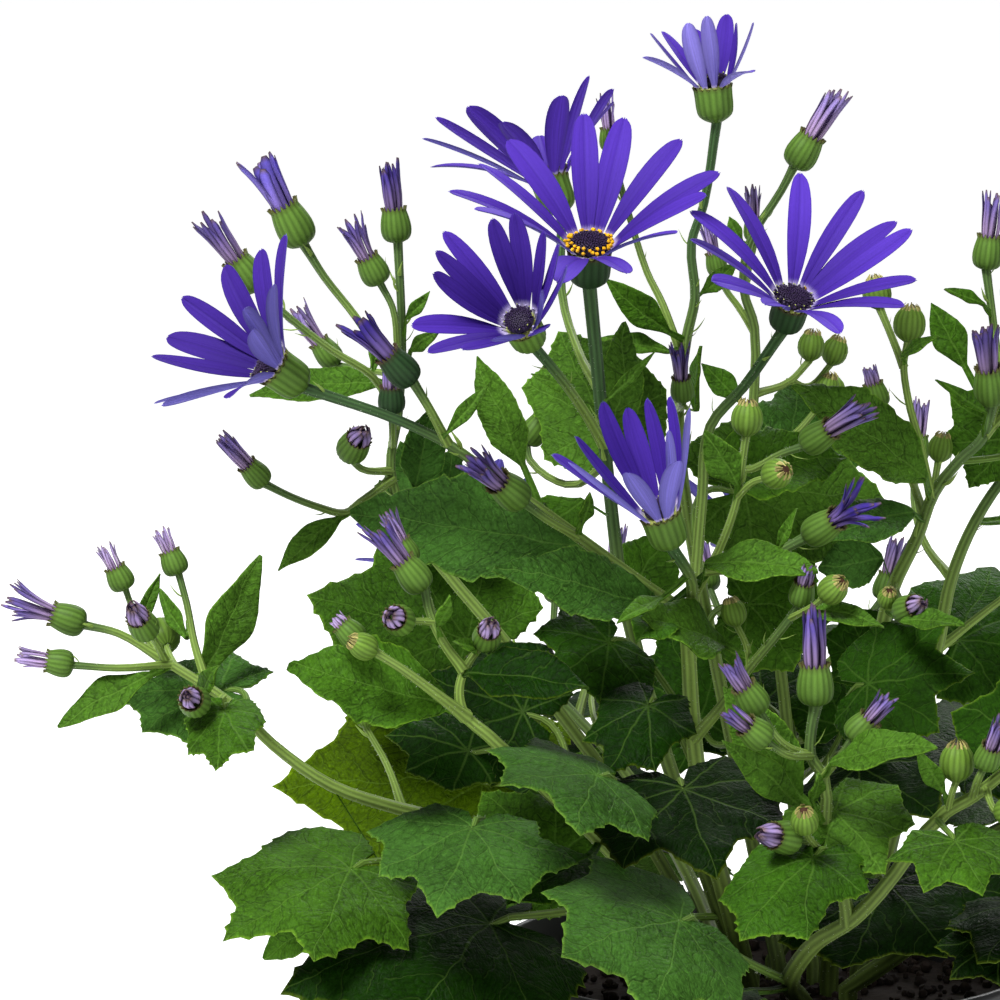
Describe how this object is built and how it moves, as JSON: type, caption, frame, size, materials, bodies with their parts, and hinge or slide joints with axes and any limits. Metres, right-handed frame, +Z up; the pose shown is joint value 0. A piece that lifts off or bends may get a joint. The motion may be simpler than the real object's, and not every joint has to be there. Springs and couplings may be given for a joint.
{
  "type": "potted cineraria",
  "caption": "Florist cineraria in a plain round nursery pot: branching leafy shoots with lobed leaves, buds, half-open tufts and open violet daisy blooms.",
  "frame": {"origin": "centre of the pot's flat underside", "axes": "+Z up along the pot's axis, -Y towards the side seen in the picture, +X to its right"},
  "size_m": [0.3461, 0.3126, 0.3558],
  "materials": {
    "foliage": "satin green leaves and stems with fine pale hairs",
    "petal": "matt vivid violet, paler and silvery underneath, white at the foot",
    "disc": "dark purple tube florets with yellow pollen",
    "pot": "black satin",
    "soil": "dark crumbly bark and peat compost"
  },
  "bodies": {
    "root": {"bloom_10_disc": "disc", "bloom_10_petals": "petal", "bloom_11_disc": "disc", "bloom_11_petals": "petal", "bloom_12_disc": "disc", "bloom_12_petals": "petal", "bloom_1_disc": "disc", "bloom_1_petals": "petal", "bloom_2_disc": "disc", "bloom_2_petals": "petal", "bloom_3_disc": "disc", "bloom_3_petals": "petal", "bloom_4_disc": "disc", "bloom_4_petals": "petal", "bloom_5_disc": "disc", "bloom_5_petals": "petal", "bloom_6_disc": "disc", "bloom_6_petals": "petal", "bloom_7_disc": "disc", "bloom_7_petals": "petal", "bloom_8_disc": "disc", "bloom_8_petals": "petal", "bloom_9_disc": "disc", "bloom_9_petals": "petal", "front_a_tuft": "petal", "main_b_tuft": "petal", "main_c_tuft": "petal", "main_g_tuft": "petal", "mid_tuft": "petal", "near_a_tuft": "petal", "near_b_tuft": "petal", "pot": "pot", "right_c_tuft": "petal", "right_tuft": "petal", "shoot_back_left": "foliage", "shoot_back_mid": "foliage", "shoot_back_right": "foliage", "shoot_centre": "foliage", "shoot_far_back": "foliage", "shoot_far_right": "foliage", "shoot_front_right": "foliage", "shoot_left_back": "foliage", "shoot_left_front": "foliage", "shoot_left_trailer": "foliage", "shoot_main": "foliage", "shoot_right": "foliage", "shoot_right_back": "foliage", "shoot_top": "foliage", "soil": "soil", "top_b_tuft": "petal", "trailer_a_tuft": "petal", "trailer_b_tuft": "petal", "trailer_d_tuft": "petal", "trailer_e_tuft": "petal", "upper_a_tuft": "petal", "upper_b_tuft": "petal", "upper_c_tuft": "petal", "upper_tuft": "petal"}
  },
  "joints": []
}
